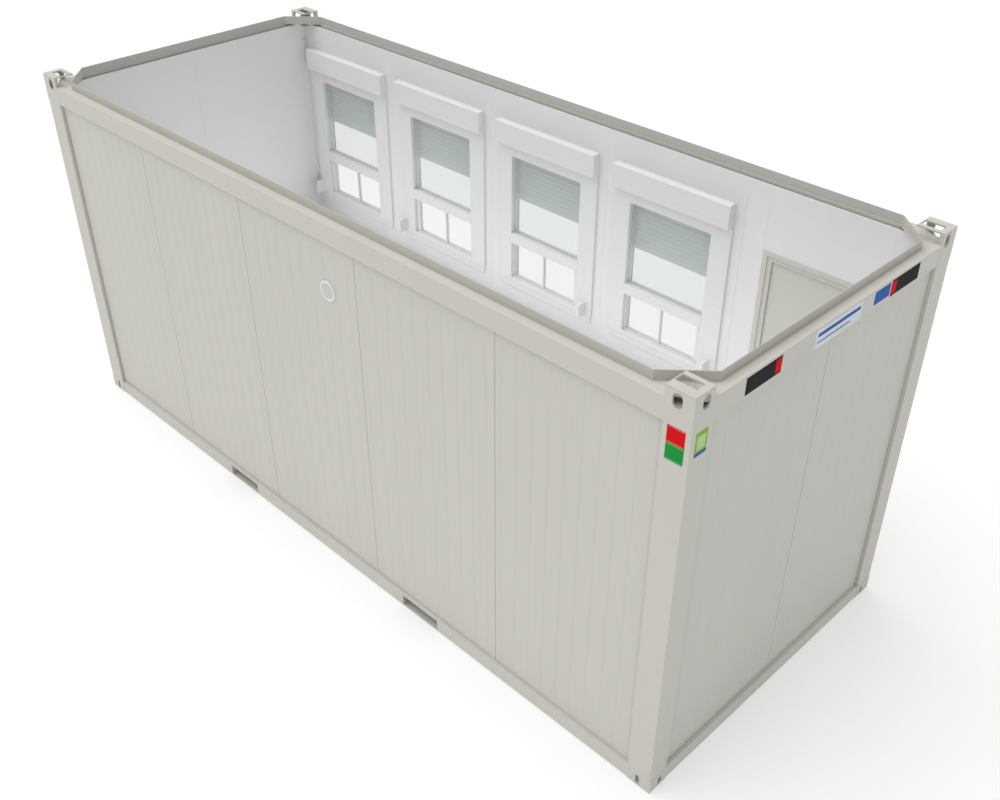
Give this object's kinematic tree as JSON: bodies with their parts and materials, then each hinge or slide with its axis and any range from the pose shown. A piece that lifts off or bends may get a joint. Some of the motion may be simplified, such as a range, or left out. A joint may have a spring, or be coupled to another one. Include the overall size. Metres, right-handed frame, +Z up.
{
  "type": "open-topped shipping container cabin",
  "caption": "Site cabin on a freight container frame, shown with its roof off, with panel walls, windows with roller shutters and a hinged door.",
  "frame": {"origin": "middle of the footprint at ground level, on the plane of the bottom castings' undersides", "axes": "+X along the length towards the end with the colour plates, +Y across towards the window and door wall, +Z up"},
  "size_m": [6.055, 2.435, 2.8],
  "materials": {
    "frame_paint": "semi-gloss light beige grey paint on folded steel",
    "panel_paint": "satin coil coated sheet with fine upright lines, white on the inner face",
    "lining_white": "satin white coated sheet",
    "window_white": "smooth white window profile",
    "clear_glass": "clear double pane",
    "slat_grey": "light grey roller shutter slats",
    "floor_grey": "grey sheet vinyl with welded seams",
    "joist_zinc": "zinc coated",
    "door_paint": "satin beige grey powder coat",
    "hinge_steel": "zinc plated",
    "handle_black": "black moulded lever handle",
    "plate_paint": "flat printed colour plates with no lettering"
  },
  "bodies": {
    "cabin": {"post_front_right": "frame_paint", "post_front_left": "frame_paint", "post_back_left": "frame_paint", "post_back_right": "frame_paint", "top_castings": "frame_paint", "bottom_castings": "frame_paint", "bottom_side_rails": "frame_paint", "bottom_end_rails": "frame_paint", "fork_pockets": "frame_paint", "floor_joists": "joist_zinc", "floor_deck": "floor_grey", "top_side_rails": "frame_paint", "top_end_rails": "frame_paint", "corner_gussets": "frame_paint", "roof_edge": "frame_paint", "inner_lining": "lining_white", "front_panel_1": "panel_paint", "front_panel_2": "panel_paint", "front_panel_3": "panel_paint", "front_panel_4": "panel_paint", "front_panel_5": "panel_paint", "left_end_panels": "panel_paint", "right_end_panels": "panel_paint", "window_panel_1": "panel_paint", "window_panel_2": "panel_paint", "window_panel_3": "panel_paint", "window_panel_4": "panel_paint", "door_side_panel": "panel_paint", "door_corner_panel": "panel_paint", "door_head_panel": "panel_paint", "door_frame": "door_paint", "door_hinges": "hinge_steel", "window_casings": "window_white", "window_frames": "window_white", "window_panes": "clear_glass", "shutter_boxes": "window_white", "shutter_slats": "slat_grey", "shutter_guides": "window_white", "belt_winders": "window_white", "vent_sleeve": "window_white", "marking_plates": "plate_paint"},
    "door": {"door_leaf": "door_paint", "door_straps": "hinge_steel", "door_handle": "handle_black"}
  },
  "joints": [
    {"name": "door_hinge", "type": "hinge", "parent": "cabin", "child": "door", "pos_m": [2.712, 1.187, 1.2], "axis": [0, 0, -1], "range_deg": [0, 110]}
  ]
}
